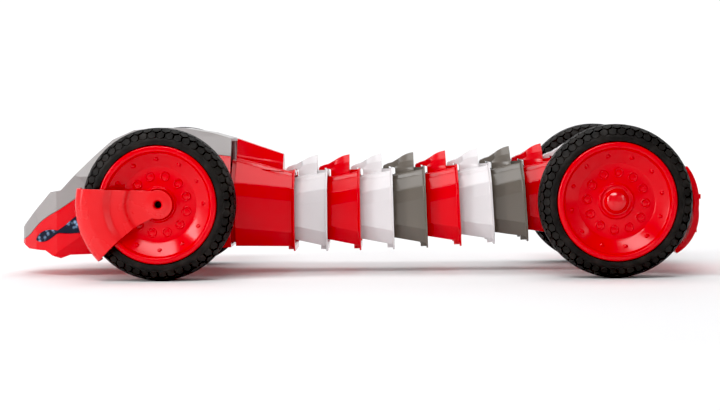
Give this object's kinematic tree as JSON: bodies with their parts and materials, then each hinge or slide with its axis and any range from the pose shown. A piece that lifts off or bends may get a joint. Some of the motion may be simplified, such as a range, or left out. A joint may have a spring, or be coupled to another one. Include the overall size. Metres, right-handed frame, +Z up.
{
  "type": "rc stunt car",
  "caption": "Radio-controlled stunt car with a jointed body of nested hinged rings, large block-tread wheels, a wedge head with fender arms and a curved rear bumper.",
  "frame": {"origin": "under the middle of the car, on the floor the wheels stand on", "axes": "+Z up, nose towards -X, tail towards +X, the wheels' axles along Y"},
  "size_m": [0.4219, 0.1564, 0.092],
  "materials": {
    "red_plastic": "gloss",
    "grey_hood_plastic": "satin",
    "grey_plastic": "gloss",
    "white_plastic": "gloss",
    "tyre_rubber": "matt",
    "lens": "gloss",
    "steel": "satin",
    "motor_can": "satin",
    "gear_plastic": "satin",
    "brass": "satin",
    "black_plastic": "matt",
    "cell_wrap": "gloss",
    "board": "satin"
  },
  "bodies": {
    "head": {"head_hood": "grey_hood_plastic", "head_lower_shell": "red_plastic", "headlight_left": "lens", "headlight_right": "lens", "neck_shell": "red_plastic", "head_screws": "steel", "battery_door": "red_plastic", "battery_tray": "black_plastic", "battery_cells": "cell_wrap", "battery_contacts": "steel", "circuit_board": "board", "switch_housing": "black_plastic", "motor_left": "motor_can", "motor_right": "motor_can", "gearbox_frame": "black_plastic", "gearbox_cover_left": "black_plastic", "gearbox_cover_right": "black_plastic", "idler_pins": "steel", "front_axle": "steel", "fender_arm_left": "red_plastic", "fender_arm_right": "red_plastic", "arm_screws": "steel"},
    "front_wheel_left": {"front_rim_left": "red_plastic", "front_tyre_left": "tyre_rubber", "wheel_gear_left": "gear_plastic"},
    "idler_left": {"idler_gear_left": "gear_plastic"},
    "pinion_left": {"motor_pinion_left": "brass"},
    "front_wheel_right": {"front_rim_right": "red_plastic", "front_tyre_right": "tyre_rubber", "wheel_gear_right": "gear_plastic"},
    "idler_right": {"idler_gear_right": "gear_plastic"},
    "pinion_right": {"motor_pinion_right": "brass"},
    "switch": {"switch_knob": "black_plastic"},
    "ring_1": {"ring_1_white": "white_plastic"},
    "ring_2": {"ring_2_red": "red_plastic"},
    "ring_3": {"ring_3_white": "white_plastic"},
    "ring_4": {"ring_4_grey": "grey_plastic"},
    "ring_5": {"ring_5_red": "red_plastic"},
    "ring_6": {"ring_6_white": "white_plastic"},
    "ring_7": {"ring_7_grey": "grey_plastic"},
    "ring_8": {"ring_8_red": "red_plastic"},
    "ring_9": {"ring_9_white": "white_plastic"},
    "tail": {"tail_lower_shell": "red_plastic", "tail_top_cover": "grey_hood_plastic", "tail_screws": "steel", "rear_axle": "steel", "axle_clips": "steel", "rear_bumper": "red_plastic"},
    "rear_wheel_left": {"rear_rim_left": "red_plastic", "rear_tyre_left": "tyre_rubber", "hub_cap_left": "red_plastic"},
    "rear_wheel_right": {"rear_rim_right": "red_plastic", "rear_tyre_right": "tyre_rubber", "hub_cap_right": "red_plastic"}
  },
  "joints": [
    {"name": "front_wheel_left_spin", "type": "hinge", "parent": "head", "child": "front_wheel_left", "pos_m": [-0.1177, 0, 0.046], "axis": [0, 1, 0], "continuous": true},
    {"name": "idler_left_spin", "type": "hinge", "parent": "head", "child": "idler_left", "pos_m": [-0.10356, 0, 0.05259], "axis": [0, 1, 0], "continuous": true},
    {"name": "pinion_left_spin", "type": "hinge", "parent": "head", "child": "pinion_left", "pos_m": [-0.09636, 0, 0.04012], "axis": [0, 1, 0], "continuous": true},
    {"name": "front_wheel_right_spin", "type": "hinge", "parent": "head", "child": "front_wheel_right", "pos_m": [-0.1177, 0, 0.046], "axis": [0, 1, 0], "continuous": true},
    {"name": "idler_right_spin", "type": "hinge", "parent": "head", "child": "idler_right", "pos_m": [-0.10356, 0, 0.05259], "axis": [0, 1, 0], "continuous": true},
    {"name": "pinion_right_spin", "type": "hinge", "parent": "head", "child": "pinion_right", "pos_m": [-0.09636, 0, 0.04012], "axis": [0, 1, 0], "continuous": true},
    {"name": "switch_slide", "type": "slide", "parent": "head", "child": "switch", "axis": [1, 0, 0], "range_m": [0, 0.004]},
    {"name": "ring_1_hinge", "type": "hinge", "parent": "head", "child": "ring_1", "pos_m": [-0.0424, 0, 0.0648], "axis": [0, 1, 0], "range_deg": [0, 10]},
    {"name": "ring_2_hinge", "type": "hinge", "parent": "ring_1", "child": "ring_2", "pos_m": [-0.0221, 0, 0.0648], "axis": [0, 1, 0], "range_deg": [0, 10]},
    {"name": "ring_3_hinge", "type": "hinge", "parent": "ring_2", "child": "ring_3", "pos_m": [-0.0018, 0, 0.06503], "axis": [0, 1, 0], "range_deg": [0, 10]},
    {"name": "ring_4_hinge", "type": "hinge", "parent": "ring_3", "child": "ring_4", "pos_m": [0.01849, 0, 0.06549], "axis": [0, 1, 0], "range_deg": [0, 10]},
    {"name": "ring_5_hinge", "type": "hinge", "parent": "ring_4", "child": "ring_5", "pos_m": [0.03878, 0, 0.06618], "axis": [0, 1, 0], "range_deg": [0, 10]},
    {"name": "ring_6_hinge", "type": "hinge", "parent": "ring_5", "child": "ring_6", "pos_m": [0.05906, 0, 0.0671], "axis": [0, 1, 0], "range_deg": [0, 10]},
    {"name": "ring_7_hinge", "type": "hinge", "parent": "ring_6", "child": "ring_7", "pos_m": [0.07933, 0, 0.06825], "axis": [0, 1, 0], "range_deg": [0, 10]},
    {"name": "ring_8_hinge", "type": "hinge", "parent": "ring_7", "child": "ring_8", "pos_m": [0.09958, 0, 0.06963], "axis": [0, 1, 0], "range_deg": [0, 10]},
    {"name": "ring_9_hinge", "type": "hinge", "parent": "ring_8", "child": "ring_9", "pos_m": [0.11982, 0, 0.07124], "axis": [0, 1, 0], "range_deg": [0, 10]},
    {"name": "tail_hinge", "type": "hinge", "parent": "ring_9", "child": "tail", "pos_m": [0.14003, 0, 0.07308], "axis": [0, 1, 0], "range_deg": [0, 10]},
    {"name": "rear_wheel_left_spin", "type": "hinge", "parent": "tail", "child": "rear_wheel_left", "pos_m": [0.1559, 0, 0.046], "axis": [0, 1, 0], "continuous": true},
    {"name": "rear_wheel_right_spin", "type": "hinge", "parent": "tail", "child": "rear_wheel_right", "pos_m": [0.1559, 0, 0.046], "axis": [0, 1, 0], "continuous": true}
  ],
  "couplings": [
    {"joint": "idler_left_spin", "follows": "front_wheel_left_spin", "ratio": -3.3333},
    {"joint": "pinion_left_spin", "follows": "front_wheel_left_spin", "ratio": 10},
    {"joint": "idler_right_spin", "follows": "front_wheel_right_spin", "ratio": -3.3333},
    {"joint": "pinion_right_spin", "follows": "front_wheel_right_spin", "ratio": 10}
  ]
}
